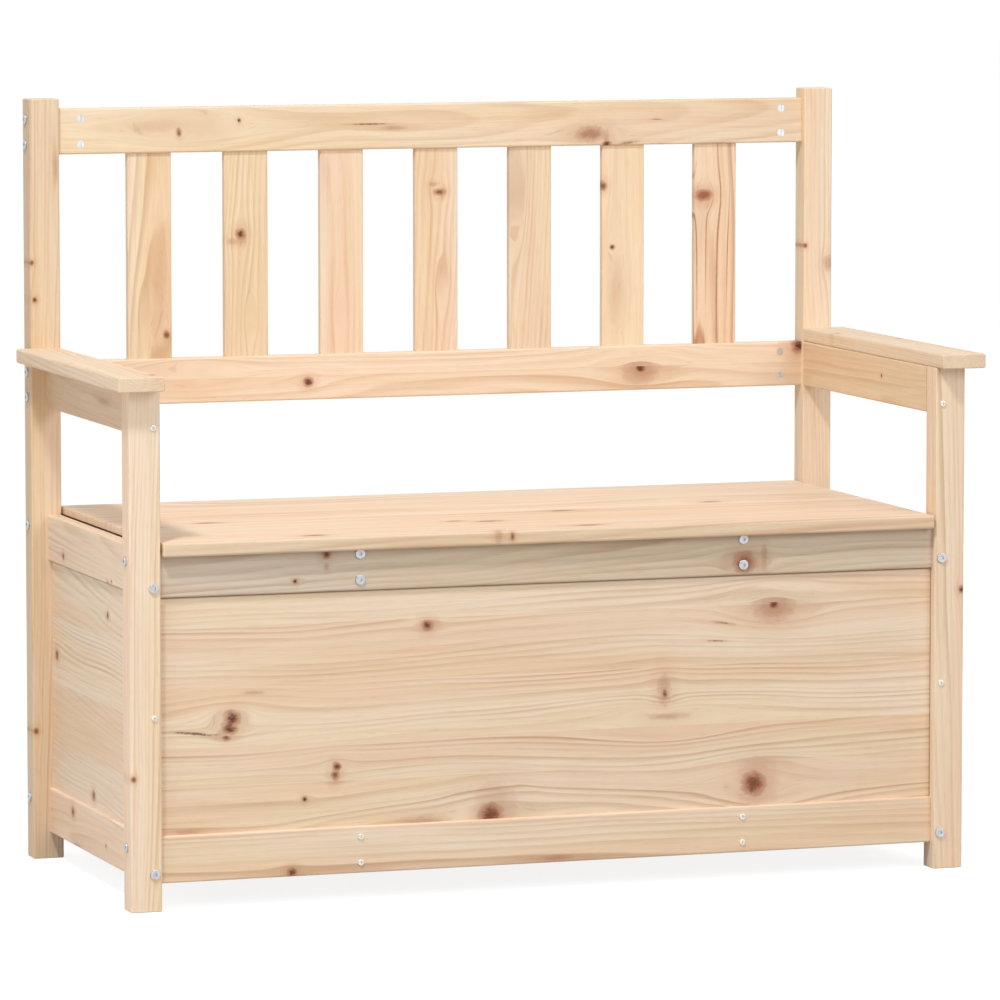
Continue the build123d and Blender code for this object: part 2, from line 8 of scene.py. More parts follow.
import bpy
import numpy as np
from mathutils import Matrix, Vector


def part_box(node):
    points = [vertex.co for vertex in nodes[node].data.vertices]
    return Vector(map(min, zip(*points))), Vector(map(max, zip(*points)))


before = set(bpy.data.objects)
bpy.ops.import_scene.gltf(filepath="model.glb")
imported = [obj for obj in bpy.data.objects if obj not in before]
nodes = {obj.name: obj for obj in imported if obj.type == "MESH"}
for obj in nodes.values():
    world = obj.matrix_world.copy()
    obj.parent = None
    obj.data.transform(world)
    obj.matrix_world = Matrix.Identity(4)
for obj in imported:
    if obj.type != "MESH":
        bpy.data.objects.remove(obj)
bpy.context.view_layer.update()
MM = 1000.0  # millimetres in a metre
WHITE = (1.0, 1.0, 1.0, 1.0)
rng = np.random.default_rng(11)


def linear(red, green, blue):
    """A colour given in screen bytes, as the linear light that a shader takes, by the usual screen curve."""
    share = np.array([red, green, blue]) / 255
    light = np.where(share <= 0.04045, share / 12.92, ((share + 0.055) / 1.055) ** 2.4)
    return (*light.tolist(), 1.0)


class Wiring:
    """Adds nodes to one tree. A value is a number, a tuple or the output of another node."""

    def __init__(self, tree):
        self.tree = tree

    def add(self, kind, feeds=None, **settings):
        """One node with its settings, and its inputs fed by name or number."""
        node = self.tree.nodes.new(kind)
        for name, value in settings.items():
            setattr(node, name, value)
        for socket, value in (feeds or {}).items():
            if isinstance(value, bpy.types.NodeSocket):
                self.tree.links.new(value, node.inputs[socket])
            else:
                node.inputs[socket].default_value = value
        return node

    def use(self, group, feeds):
        """A copy of a node group, fed by name."""
        return self.add("ShaderNodeGroup", feeds, node_tree=group).outputs

    def math(self, operation, *values):
        """One step of arithmetic on numbers, such as ADD or MULTIPLY."""
        return self.add("ShaderNodeMath", dict(enumerate(values)), operation=operation).outputs[0]

    def vector(self, operation, *values):
        """One step of arithmetic on vectors."""
        return self.add("ShaderNodeVectorMath", dict(enumerate(values)), operation=operation).outputs[0]

    def split(self, place):
        """The three parts of a vector."""
        return self.add("ShaderNodeSeparateXYZ", {0: place}).outputs[:]

    def join(self, *parts):
        """A vector from its three parts."""
        return self.add("ShaderNodeCombineXYZ", dict(enumerate(parts))).outputs[0]

    def noise(self, place, scale=1.0, detail=2.0, roughness=0.5, colour=False):
        """Smooth noise, as a number about a half or as three of them."""
        feeds = {"Vector": place, "Scale": scale, "Detail": detail, "Roughness": roughness}
        node = self.add("ShaderNodeTexNoise", feeds)
        return node.outputs["Color" if colour else "Fac"]

    def step(self, value, low, high, start=0.0, end=1.0):
        """A smooth change from start to end while the value goes from low to high."""
        feeds = {"Value": value, "From Min": low, "From Max": high, "To Min": start, "To Max": end}
        return self.add("ShaderNodeMapRange", feeds, interpolation_type="SMOOTHSTEP").outputs[0]

    def mix(self, share, first, second, blend="MIX"):
        """Two colours mixed. The node keeps its colours in sockets 6 and 7, and their mix in 2."""
        feeds = {"Factor": share, 6: first, 7: second}
        return self.add("ShaderNodeMix", feeds, data_type="RGBA", blend_type=blend).outputs[2]


def new_group(name, inputs, outputs):
    """An empty node group with its sockets, and the wiring to fill it."""
    group = bpy.data.node_groups.new(name, "ShaderNodeTree")
    for socket, kind in inputs:
        group.interface.new_socket(socket, in_out="INPUT", socket_type=kind)
    for socket, kind in outputs:
        group.interface.new_socket(socket, in_out="OUTPUT", socket_type=kind)
    wiring = Wiring(group)
    return group, wiring, wiring.add("NodeGroupInput").outputs


def new_material(name):
    """An empty material, and the wiring to fill it."""
    material = bpy.data.materials.new(name)
    material.use_nodes = True
    material.node_tree.nodes.clear()
    return material, Wiring(material.node_tree)


NUMBER, VECTOR, COLOUR = "NodeSocketFloat", "NodeSocketVector", "NodeSocketColor"
BLOT = [("Core", NUMBER), ("Body", NUMBER), ("Halo", NUMBER)]

# How a knot fades, in distances from its middle over its radius: full up to the first, none past the second
CORE_FADE = (0.1, 0.75)
BODY_FADE = (0.4, 1.2)
HALO_FADE = (0.6, 3.0)
RIM_INNER, RIM_RIDGE, RIM_OUTER = 0.65, 0.95, 1.25  # the faint rim rises and falls
BODY_DEPTH = 0.95
RIM_DEPTH = 0.2
FLOW_STRETCH = 2.4  # how much longer than the knot the bend in the grain is


def make_knot_group():
    """One knot: a stub of branch through the board, and the grain that flows round it.

    In board places (along, across, through) the knot is an ellipse, longer along the grain by its stretch.
    With q the distance from its middle over its radius, made a little ragged, the body fills q below 1 with
    a soft edge and a faint rim, the blotchy dark core fills the inner half and the halo dies off outside.
    The stains stop at Low and High, the edges of the stave that the knot grew in. A grain line is moved
    away from the knot as water flows round a post: across loses its offset times 1 / q squared, with q
    measured on a longer ellipse.
    """
    inputs = [
        ("Place", VECTOR), ("Ragged", NUMBER), ("Blotch", NUMBER), ("Middle", VECTOR), ("Radius", NUMBER),
        ("Stretch", NUMBER), ("Flow", NUMBER), ("Stain", NUMBER), ("Wood", NUMBER), ("Glow", NUMBER),
        ("Low", NUMBER), ("High", NUMBER),
    ]
    group, w, given = new_group("knot", inputs + BLOT, [("Place", VECTOR)] + BLOT)
    own_along, own_across, own_through = w.split(given["Place"])
    middle_along, middle_across, _ = w.split(given["Middle"])
    along = w.math("SUBTRACT", own_along, middle_along)
    across = w.math("SUBTRACT", own_across, middle_across)
    long = w.math("DIVIDE", along, given["Stretch"])
    square = w.math("MULTIPLY", across, across)
    reach = w.math("SQRT", w.math("MULTIPLY_ADD", long, long, square))
    q = w.math("ADD", w.math("DIVIDE", reach, given["Radius"]), given["Ragged"])
    inside = w.math("MULTIPLY", w.math("GREATER_THAN", own_across, given["Low"]),
                    w.math("LESS_THAN", own_across, given["High"]))
    blotched = w.math("ADD", q, given["Blotch"])
    dark = w.math("MULTIPLY", w.step(blotched, *CORE_FADE, 1.0, 0.0), given["Stain"])
    rim = w.math("MULTIPLY", w.step(q, RIM_INNER, RIM_RIDGE), w.step(q, RIM_RIDGE, RIM_OUTER, 1.0, 0.0))
    filled = w.math("MULTIPLY_ADD", rim, RIM_DEPTH, w.step(q, *BODY_FADE, BODY_DEPTH, 0.0))
    blush = w.math("MULTIPLY", w.step(q, *HALO_FADE, 1.0, 0.0), given["Glow"])
    core = w.math("MULTIPLY", dark, inside)
    body = w.math("MULTIPLY", w.math("MULTIPLY", filled, given["Wood"]), inside)
    halo = w.math("MULTIPLY", blush, inside)
    flow_long = w.math("DIVIDE", long, FLOW_STRETCH)
    flow_reach = w.math("MULTIPLY_ADD", flow_long, flow_long, square)
    squared = w.math("DIVIDE", flow_reach, w.math("MULTIPLY", given["Radius"], given["Radius"]))
    push = w.math("DIVIDE", given["Flow"], w.math("MAXIMUM", squared, 1.0))
    moved_across = w.math("SUBTRACT", own_across, w.math("MULTIPLY", across, push))
    w.add("NodeGroupOutput", {
        "Place": w.join(own_along, moved_across, own_through),
        "Core": w.math("MAXIMUM", core, given["Core"]),
        "Body": w.math("MAXIMUM", body, given["Body"]),
        "Halo": w.math("MAXIMUM", halo, given["Halo"]),
    })
    return group


# Noises drawn out along the grain: waves in a millimetre along and across it, detail and roughness
SWAY = (0.0024, 0.006, 1.0)  # wander of the pith
RIPPLE = (0.006, 0.07, 1.0)  # small waves of the rings
FADE = (0.003, 0.025, 1.0)  # where the late lines come and go
BAND = (0.0012, 0.022, 0.5)  # pink bands
WARM = (0.0016, 0.017, 0.5)  # honey bands
STREAK = (0.006, 0.2, 3.0, 0.6)  # brown streaks
FINE = (0.02, 0.9, 2.0, 0.65)  # fibres
DASH = (0.05, 2.0, 0.0)  # short resin dashes
# Tints that these noises lay on the wood: from and to which value, the tint's share at both, and the tint
TINTS = (
    (BAND, (0.42, 0.64, 0.0, 0.8), (0.985, 0.90, 0.865, 1.0)),
    (WARM, (0.42, 0.66, 0.0, 0.7), (0.98, 0.94, 0.83, 1.0)),
    (STREAK, (0.3, 0.6, 0.4, 0.0), (0.88, 0.78, 0.68, 1.0)),
    (FINE, (0.3, 0.6, 0.4, 0.0), (0.92, 0.86, 0.80, 1.0)),
    (DASH, (0.70, 0.78, 0.0, 0.3), (0.72, 0.55, 0.42, 1.0)),
)
SEED_STEP = 37.0  # how far apart two seeds lie in the noise
SEED_LEAN = (1.7, 0.6)  # the same across and through, in shares of it
STAVE_SHIFT = (431.0, 23.0, 9.0)  # how far apart in the tree two staves were cut
STAVE_TURN = 2.3  # the share of its tint follows the sine of its number times this
STAVE_TINT = (0.975, 0.962, 0.94, 1.0)
UNEVEN_WAVES, UNEVEN_RINGS = 0.03, 4.0  # changing ring width: waves in a millimetre, and its size in rings
RIPPLE_RINGS = 0.55  # size of the small waves, in rings
YEAR_STEP = 3.7  # how far apart two years lie in the noise
LATE_START, LATE_PEAK, LATE_END = 0.25, 0.86, 1.0  # the late line, in shares of a year
# Strength of the late lines by year and by place: from and to which value of the noise, and how much at both
YEAR_STRENGTH = (0.32, 0.72, 0.15, 1.0)
FADE_STRENGTH = (0.32, 0.68, 0.3, 1.0)
END_LINES = -0.5  # the lines are weaker on end grain
END_SHARE, END_TINT = 0.04, (0.78, 0.66, 0.52, 1.0)
# Painted shade: the tint of a dark line where a neighbour meets a board, for the shadow in the gap
GAP_SHADE_TINT = (0.42, 0.33, 0.27, 1.0)
HALO_TINT = (0.83, 0.69, 0.61, 1.0)
KNOT_BODY = linear(164, 98, 66)
KNOT_CORE = linear(90, 48, 31)
# Roughness of planed wood, what the fibres add, and what late wood and knots take off
ROUGHNESS, FIBRE_ROUGHNESS, LATE_GLOSS = 0.46, 0.16, 0.07
FIBRE_HEIGHT, LATE_HEIGHT, CORE_HEIGHT = 0.5, 0.35, -0.6  # in shares of the bump's distance


def make_pine_group():
    """Pine from board places: yearly rings about the pith, fibres, tone bands and the knots' stains.

    The ring number is the distance from the pith, which wanders along the board, over the ring width, and
    a little noise. Each ring goes from pale early wood to a narrow brown line of late wood. Each stave of a
    glued board is cut from another place in the tree, and has a tone of its own.
    """
    inputs = [
        ("Place", VECTOR), ("Pith", VECTOR), ("Lean", VECTOR), ("Ring", NUMBER), ("Seed", NUMBER),
        ("Wander", NUMBER), ("Line", NUMBER), ("Early", COLOUR), ("Late", COLOUR), ("End", NUMBER),
        ("Seam", NUMBER), ("Stave", NUMBER),
    ]
    outputs = [("Colour", COLOUR), ("Roughness", NUMBER), ("Height", NUMBER)]
    group, w, given = new_group("pine", inputs + BLOT, outputs)
    seed = w.math("MULTIPLY", given["Seed"], SEED_STEP)
    offset = w.join(seed, *[w.math("MULTIPLY", seed, share) for share in SEED_LEAN])
    shift = w.join(*[w.math("MULTIPLY", given["Stave"], far) for far in STAVE_SHIFT])
    place = w.vector("ADD", given["Place"], shift)

    def sample(along, across, detail=2.0, roughness=0.5, colour=False):
        """Noise drawn out along the grain."""
        stretched = w.vector("MULTIPLY_ADD", place, (along, across, across), offset)
        return w.noise(stretched, detail=detail, roughness=roughness, colour=colour)

    along, across, through = w.split(place)
    sway = w.vector("SUBTRACT", sample(*SWAY, colour=True), (0.5, 0.5, 0.5))
    wander = w.join(given["Wander"], given["Wander"], given["Wander"])
    _, sway_across, sway_through = w.split(w.vector("MULTIPLY", sway, wander))
    _, pith_across, pith_through = w.split(given["Pith"])
    _, lean_across, lean_through = w.split(given["Lean"])
    from_pith = []
    for here, pith, lean, bend in (
        (across, pith_across, lean_across, sway_across),
        (through, pith_through, lean_through, sway_through),
    ):
        centre = w.math("MULTIPLY_ADD", along, lean, pith)
        from_pith.append(w.math("ADD", w.math("SUBTRACT", here, centre), bend))
    through_square = w.math("MULTIPLY", from_pith[1], from_pith[1])
    far = w.math("SQRT", w.math("MULTIPLY_ADD", from_pith[0], from_pith[0], through_square))
    uneven = w.noise(w.join(w.math("MULTIPLY", far, UNEVEN_WAVES), seed, 0.0), detail=1.0)
    count = w.math("MULTIPLY_ADD", uneven, UNEVEN_RINGS, w.math("DIVIDE", far, given["Ring"]))
    count = w.math("MULTIPLY_ADD", sample(*RIPPLE), RIPPLE_RINGS, count)
    phase = w.math("FRACT", count)
    own_year = w.math("MULTIPLY", w.math("FLOOR", count), YEAR_STEP)
    year = w.noise(w.join(own_year, seed, 0.0), detail=0.0)
    rise = w.step(phase, LATE_START, LATE_PEAK)
    line = w.math("MULTIPLY", rise, w.step(phase, LATE_PEAK, LATE_END, 1.0, 0.0))
    strength = w.math("MULTIPLY", w.step(year, *YEAR_STRENGTH), w.step(sample(*FADE), *FADE_STRENGTH))
    on_face = w.math("MULTIPLY_ADD", given["End"], END_LINES, 1.0)
    shown = w.math("MULTIPLY", given["Line"], on_face)
    late = w.math("MULTIPLY", w.math("MULTIPLY", line, strength), shown)

    drawn = {waves: sample(*waves) for waves, _, _ in TINTS}
    wood = w.mix(late, given["Early"], given["Late"])
    for waves, limits, tint in TINTS:
        wood = w.mix(w.step(drawn[waves], *limits), wood, tint, "MULTIPLY")
    stave_turn = w.math("SINE", w.math("MULTIPLY", given["Stave"], STAVE_TURN))
    wood = w.mix(w.math("MULTIPLY_ADD", stave_turn, 0.5, 0.5), wood, STAVE_TINT, "MULTIPLY")
    wood = w.mix(w.math("MULTIPLY", given["End"], END_SHARE), wood, END_TINT, "MULTIPLY")
    # painted shade along the gaps where neighbours meet the board
    wood = w.mix(given["Seam"], wood, GAP_SHADE_TINT, "MULTIPLY")
    wood = w.mix(given["Halo"], wood, HALO_TINT, "MULTIPLY")
    wood = w.mix(given["Body"], wood, KNOT_BODY)
    wood = w.mix(given["Core"], wood, KNOT_CORE)

    dull = w.math("MULTIPLY_ADD", drawn[FINE], FIBRE_ROUGHNESS, ROUGHNESS)
    gloss = w.math("MULTIPLY", w.math("ADD", late, given["Body"]), LATE_GLOSS)
    relief = w.math("MULTIPLY_ADD", drawn[FINE], FIBRE_HEIGHT, w.math("MULTIPLY", late, LATE_HEIGHT))
    w.add("NodeGroupOutput", {
        "Colour": wood,
        "Roughness": w.math("SUBTRACT", dull, gloss),
        "Height": w.math("MULTIPLY_ADD", given["Core"], CORE_HEIGHT, relief),
    })
    return group


knot_group = make_knot_group()
pine_group = make_pine_group()

# A board's own axes in the model: along the grain, across its face and through it
LAY = {
    "rail": (0, 2, 1),
    "upright": (2, 0, 1),
    "side": (1, 2, 0),
    "lid": (0, 1, 2),
    "arm": (1, 0, 2),
}
# What a knot looks like: stretch along the grain, flow of the grain round it, stain of its core, tone of
# its body, and glow round it
KNOT = {
    "red": (1.15, 0.9, 0.55, 0.9, 0.6),
    "dark": (1.1, 0.9, 0.95, 0.85, 0.6),
    "pin": (1.0, 0.8, 1.0, 0.6, 0.35),
    "round": (1.05, 0.9, 0.75, 1.0, 0.55),
    "drop": (0.6, 0.8, 0.65, 0.75, 0.55),
    "russet": (0.62, 0.9, 0.2, 1.0, 0.7),
    "smear": (0.5, 0.3, 0.0, 0.35, 0.4),
    "flame": (5.0, 0.9, 0.0, 0.16, 0.3),
    "limb": (2.2, 0.9, 0.25, 0.6, 0.5),
    "streak": (6.0, 0.5, 0.12, 0.3, 0.3),
    "crack": (26.0, 0.0, 0.8, 0.4, 0.1),
    "swirl": (1.8, 0.95, 0.0, 0.0, 0.12),
    "sliver": (9.0, 0.3, 0.6, 0.35, 0.3),
    "oval": (2.4, 0.9, 0.6, 0.6, 0.5),
    "ring": (1.05, 0.4, 0.0, 0.22, 0.3),
    "half": (1.25, 0.7, 0.0, 0.45, 0.4),
    "vein": (110.0, 0.0, 0.1, 0.7, 0.2),
}
ANYWHERE = (-1e6, 1e6)  # a knot that no edge of a stave cuts
# Noises on the outline and the core of the knots: waves in a millimetre along, across and through, and size
RAGGED_WAVES, RAGGED_SIZE = (0.11, 0.15, 0.11), 0.6
BLOTCH_WAVES, BLOTCH_SIZE = (0.25, 0.32, 0.25), 1.1
END_FACE = (0.75, 0.95)  # how much a face looks along the grain where end grain starts and is full
PINE_BUMP = {"Strength": 0.22, "Distance": 0.0003}
PINE_SPECULAR = 0.35


def pine(name, lay, tone, pith, lean, ring, seed, wander, line, knots, gap_shades, staves):
    """The material of one board. Pith is its place (across, through) and lean its slope along the board.

    A knot has its place (along, across), radius and kind, and the edges of its stave where they cut it. A
    gap shade is painted shade: a dark line where a neighbour meets the board, standing in for the shadow in
    the gap between them. It has its axis in the board, place and half width.
    Staves are given by the places across the board at which they are glued.
    """
    material, w = new_material(name)
    object_place = w.add("ShaderNodeTexCoord").outputs["Object"]
    parts = w.split(w.vector("MULTIPLY", object_place, (MM, MM, MM)))
    place = w.join(*[parts[axis] for axis in LAY[lay]])
    own_parts = w.split(place)
    gap_shade = 0.0
    for axis, middle, reach in gap_shades:
        away = w.math("ABSOLUTE", w.math("SUBTRACT", own_parts[axis], middle))
        gap_shade = w.math("MAXIMUM", gap_shade, w.step(away, 0.0, reach, 1.0, 0.0))
    stave = 0.0
    for edge in staves:
        stave = w.math("ADD", stave, w.math("GREATER_THAN", own_parts[1], edge))
    ragged = w.noise(w.vector("MULTIPLY", place, RAGGED_WAVES))
    ragged = w.math("MULTIPLY_ADD", ragged, RAGGED_SIZE, -RAGGED_SIZE / 2)
    blotch = w.noise(w.vector("MULTIPLY", place, BLOTCH_WAVES))
    blotch = w.math("MULTIPLY_ADD", blotch, BLOTCH_SIZE, -BLOTCH_SIZE / 2)
    blot = {socket: 0.0 for socket, _ in BLOT}
    for along, across, radius, kind, *edges in knots:
        stretch, flow, stain, wood, glow = KNOT[kind]
        low, high = edges or ANYWHERE
        knot = w.use(knot_group, {
            "Place": place, "Ragged": ragged, "Blotch": blotch, "Middle": (along, across, 0.0),
            "Radius": radius, "Stretch": stretch, "Flow": flow, "Stain": stain, "Wood": wood,
            "Glow": glow, "Low": low, "High": high, **blot,
        })
        place = knot["Place"]
        blot = {socket: knot[socket] for socket, _ in BLOT}
    normal = w.split(w.add("ShaderNodeNewGeometry").outputs["True Normal"])[LAY[lay][0]]
    early, late = tone
    board = w.use(pine_group, {
        "Place": place, "Pith": (0.0, *pith), "Lean": (0.0, *lean), "Ring": ring, "Seed": seed,
        "Wander": wander, "Line": line, "Early": early, "Late": late,
        "End": w.step(w.math("ABSOLUTE", normal), *END_FACE), "Seam": gap_shade, "Stave": stave, **blot,
    })
    bump = w.add("ShaderNodeBump", {"Height": board["Height"], **PINE_BUMP})
    skin = w.add("ShaderNodeBsdfPrincipled", {
        "Base Color": board["Colour"], "Roughness": board["Roughness"], "Normal": bump.outputs[0],
        "Specular IOR Level": PINE_SPECULAR,
    })
    w.add("ShaderNodeOutputMaterial", {"Surface": skin.outputs[0]})
    return material


# Noises on the plating: waves in a millimetre, detail and roughness
MOTTLE = (0.9, 4.0, 0.6)
BLOOM = (0.25, 2.0)
BLOOM_LIMITS, BLOOM_SHADE = (0.35, 0.7), 0.82
MOTTLE_ROUGHNESS = 0.24
ZINC_BUMP = {"Strength": 0.12, "Distance": 0.0002}


def zinc(name, base, roughness, streak):
    """Plated steel: a mottled sheen, drawn out where the sheet was rolled."""
    material, w = new_material(name)
    object_place = w.add("ShaderNodeTexCoord").outputs["Object"]
    place = w.vector("MULTIPLY", object_place, (MM, MM * streak, MM))
    mottle = w.noise(place, *MOTTLE)
    shaded = (*[BLOOM_SHADE * part for part in base[:3]], 1.0)
    tint = w.mix(w.step(w.noise(place, *BLOOM), *BLOOM_LIMITS), base, shaded)
    rough = w.math("MULTIPLY_ADD", mottle, MOTTLE_ROUGHNESS, roughness - MOTTLE_ROUGHNESS / 2)
    bump = w.add("ShaderNodeBump", {"Height": mottle, **ZINC_BUMP})
    feeds = {"Base Color": tint, "Roughness": rough, "Normal": bump.outputs[0], "Metallic": 1.0}
    skin = w.add("ShaderNodeBsdfPrincipled", feeds)
    w.add("ShaderNodeOutputMaterial", {"Surface": skin.outputs[0]})
    return material


def dress(node, material):
    """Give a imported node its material, in every slot it has."""
    mesh = nodes[node].data
    if not mesh.materials:
        mesh.materials.append(material)
    for slot in nodes[node].material_slots:
        slot.material = material


# Tones of the boards, early wood and late wood
CREAM = (linear(252, 231, 206), linear(221, 185, 148))
PEACH = (linear(248, 226, 201), linear(217, 176, 141))
STRAW = (linear(245, 226, 199), linear(214, 180, 142))
SAND = (linear(247, 227, 203), linear(208, 174, 140))
HONEY = (linear(238, 214, 185), linear(205, 166, 127))
RUSSET = (linear(250, 226, 196), linear(172, 94, 56))
DULL = (linear(235, 212, 184), linear(205, 170, 134))
# A greyer tone that is also darkened as painted shade, for the shadow that the lid's lip casts on the front
# top rail
GREY_AND_SHADED = (linear(223, 207, 189), linear(191, 166, 142))
FLAX = (linear(252, 231, 203), linear(222, 185, 143))
OAT = (linear(243, 221, 193), linear(211, 174, 136))

WILD_KINDS = ["red", "dark", "pin", "swirl", "streak"]
WILD_RADIUS = (0.04, 0.11)  # in shares of the board's width
WILD_WIDTH = 90.0  # a wider board has no larger knots


def box_mm(node):
    """The lowest and highest corners of a node, in millimetres."""
    low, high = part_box(node)
    return np.array(low) * MM, np.array(high) * MM


def wild_knots(node, lay, count):
    """A few knots anywhere on a board, where the photograph doesn't show it."""
    low, high = box_mm(node)
    along, across, _ = LAY[lay]
    found = []
    for _ in range(count):
        spot = rng.uniform(low, high)
        radius = rng.uniform(*WILD_RADIUS) * min(high[across] - low[across], WILD_WIDTH)
        found.append((spot[along], spot[across], radius, WILD_KINDS[rng.integers(len(WILD_KINDS))]))
    return found


def lay_board(node, lay, tone, pith, ring, seed, lean=(0.02, 0.02), wander=14.0, line=0.8, knots=(), wild=0,
              gap_shades=(), staves=()):
    """Dress one board. Pith is given from the middle of the board, and wild is how many knots chance adds."""
    low, high = box_mm(node)
    _, across, through = LAY[lay]
    middle = (low + high) / 2
    pith_place = (middle[across] + pith[0], middle[through] + pith[1])
    spots = list(knots) + wild_knots(node, lay, wild)
    name = node + "_pine"
    dress(node, pine(name, lay, tone, pith_place, lean, ring, seed, wander, line, spots, gap_shades, staves))


# Back: the two rails and the slats between them
lay_board("back_top_rail", "rail", STRAW, pith=(6.0, 46.0), ring=4.2, seed=1.0, lean=(0.012, 0.02),
          wander=22.0, line=0.85, knots=[
    (-346, 920, 6.0, "drop"), (-375, 928, 7.0, "flame"), (-266, 932, 3.0, "pin"), (-93, 927, 1.4, "crack"),
    (-60, 922, 3.0, "streak"), (210, 910, 10.0, "limb"), (232, 904, 6.0, "dark"), (262, 903, 1.6, "sliver"),
    (300, 924, 1.1, "sliver"), (-334, 929, 16.0, "swirl"),
])
lower_rail_stave = (0.0, 606.0)  # the first edge is below the board, and only picks the staves' tones
lay_board("back_lower_rail", "rail", PEACH, pith=(-20.0, 60.0), ring=4.6, seed=2.0, lean=(0.02, 0.01),
          wander=20.0, line=0.85, staves=lower_rail_stave, knots=[
    (-175, 598, 6.5, "dark"), (279, 603, 8.0, "dark", *lower_rail_stave),
    (279, 606, 20.0, "half", *lower_rail_stave), (501, 626, 10.0, "dark"), (440, 632, 1.2, "sliver"),
    (-334, 612, 16.0, "swirl"),
])
# Slats from left to right: tone, pith, ring width, strength of the late lines, and knots
slats = [
    (STRAW, (-6.0, 34.0), 5.0, 0.85, [
        (663, -362, 5.0, "red"), (700, -372, 10.0, "flame"), (690, -385, 8.0, "swirl"),
    ]),
    (STRAW, (70.0, 36.0), 5.2, 0.7, [
        (789, -263, 7.0, "dark"), (780, -270, 9.0, "smear"), (680, -250, 7.0, "swirl"),
    ]),
    (PEACH, (-64.0, 44.0), 6.5, 0.8, [(690, -130, 6.0, "swirl")]),
    (PEACH, (52.0, 48.0), 6.0, 0.75, [
        (848, -4, 6.0, "smear"), (838, 4, 8.0, "drop"), (720, 8, 8.0, "swirl"),
    ]),
    (STRAW, (84.0, 30.0), 5.4, 0.75, [(831, 107, 10.0, "swirl"), (846, 106, 9.0, "flame")]),
    (FLAX, (-14.0, 46.0), 7.0, 0.7, [
        (842, 228, 5.5, "red"), (762, 241, 4.4, "pin"), (705, 246, 10.0, "flame"),
    ]),
    (RUSSET, (-44.0, 26.0), 5.0, 1.2, [
        (827, 368, 12.5, "russet"), (770, 359, 0.9, "vein"), (770, 371, 0.7, "vein"), (770, 386, 1.4, "vein"),
        (760, 400, 0.7, "vein"),
    ]),
]
for number, (tone, pith, ring, line, spots) in enumerate(slats, 1):
    lay_board(f"back_slat_{number}", "upright", tone, pith, ring, seed=10.0 + number, lean=(0.03, 0.03),
              line=line, knots=spots)

# Posts and legs
lay_board("rear_post_left", "upright", DULL, pith=(40.0, 34.0), ring=3.4, seed=21.0, lean=(0.01, 0.01),
          wander=10.0, line=0.7, knots=[
    (880, -510, 4.0, "streak"), (712, -538, 3.6, "dark"), (759, -541, 3.0, "red"), (164, -540, 4.0, "red"),
])
lay_board("rear_post_right", "upright", CREAM, pith=(-36.0, 40.0), ring=3.6, seed=22.0, lean=(-0.012, 0.01),
          wander=10.0, line=0.7, knots=[(736, 540, 8.0, "half"), (759, 508, 3.0, "red")])
lay_board("front_leg_left", "upright", CREAM, pith=(34.0, 30.0), ring=3.2, seed=23.0, lean=(0.015, 0.01),
          wander=10.0, line=0.75, knots=[(163, -540, 3.4, "red")])
lay_board("front_leg_right", "upright", CREAM, pith=(-30.0, 38.0), ring=3.4, seed=24.0, lean=(-0.015, 0.012),
          wander=10.0, knots=[(353, 541, 5.0, "dark")])

# Arms
# The left arm rail's darker HONEY tone, against OAT on the right, is painted shade for its outer face in the
# armrest's shadow
for label, seed, pith, tone in (("left", 31.0, (18.0, 40.0), HONEY), ("right", 32.0, (-24.0, 46.0), OAT)):
    lay_board(f"armrest_{label}", "arm", OAT, pith, ring=3.8, seed=seed, line=0.7, wild=2)
    lay_board(f"arm_rail_{label}", "side", tone, pith, ring=4.0, seed=seed + 2.0, wander=16.0, wild=1)

# Front of the box. A gap shade, painted shade where a neighbour meets the board, has a board axis, 0 along
# # or 1 across, its place and its half width.
seat_rail_underside = box_mm("front_top_rail")[0][2] - 0.8
leg_face = box_mm("front_leg_right")[0][0]
# painted shade lines under the front top rail's lower edge and beside the legs' faces
rail_gap_shade = (1, seat_rail_underside, 2.2)
leg_gap_shades = [(0, -leg_face, 2.0), (0, leg_face, 2.0)]
front_glue = [147.0, 196.0, 270.0, 343.0]
below_top_stave = (0.0, front_glue[-1])
# The front top rail's greyer, darker tone is partly painted shade for the shadow under the lid's lip
lay_board("front_top_rail", "rail", GREY_AND_SHADED, pith=(30.0, 60.0), ring=4.2, seed=41.0, lean=(0.01, 0.02),
          wander=16.0, knots=[
    (-293, 426, 5.5, "dark"), (-293, 414, 6.0, "smear"), (-333, 396, 4.0, "pin"), (251, 397, 13.0, "red"),
    (278, 402, 9.0, "smear"),
])
lay_board("front_bottom_rail", "rail", SAND, pith=(-34.0, 56.0), ring=4.0, seed=42.0, lean=(0.01, 0.01),
          wander=12.0, line=0.85, knots=[(-338, 38, 6.0, "dark"), (3, 38, 4.0, "streak")])
lay_board("front_panel", "rail", SAND, pith=(-290.0, 120.0), ring=8.0, seed=43.0, lean=(0.012, 0.01),
          wander=40.0, line=0.9, gap_shades=[rail_gap_shade, *leg_gap_shades], staves=front_glue, knots=[
    (-162, 334, 7.0, "dark"), (-385, 261, 2.6, "streak"), (-411, 230, 9.5, "dark"), (-415, 224, 10.0, "dark"),
    (-420, 217, 7.0, "pin"), (-458, 218, 1.8, "crack"), (-279, 167, 5.5, "dark"), (-281, 160, 9.0, "drop"),
    (-320, 131, 4.2, "pin"), (-80, 97, 16.0, "round"), (-74, 106, 25.0, "ring"), (-165, 97, 6.0, "streak"),
    (-471, 96, 4.0, "streak"), (293, 340, 8.0, "dark", *below_top_stave),
    (293, 342, 22.0, "half", *below_top_stave), (225, 328, 2.0, "sliver"), (216, 304, 1.6, "sliver"),
    (148, 237, 7.0, "drop"), (147, 242, 18.0, "smear"), (152, 212, 5.0, "streak"), (151, 205, 15.0, "swirl"),
    (267, 123, 16.5, "round"), (273, 124, 25.0, "ring"), (228, 104, 5.0, "dark"),
])

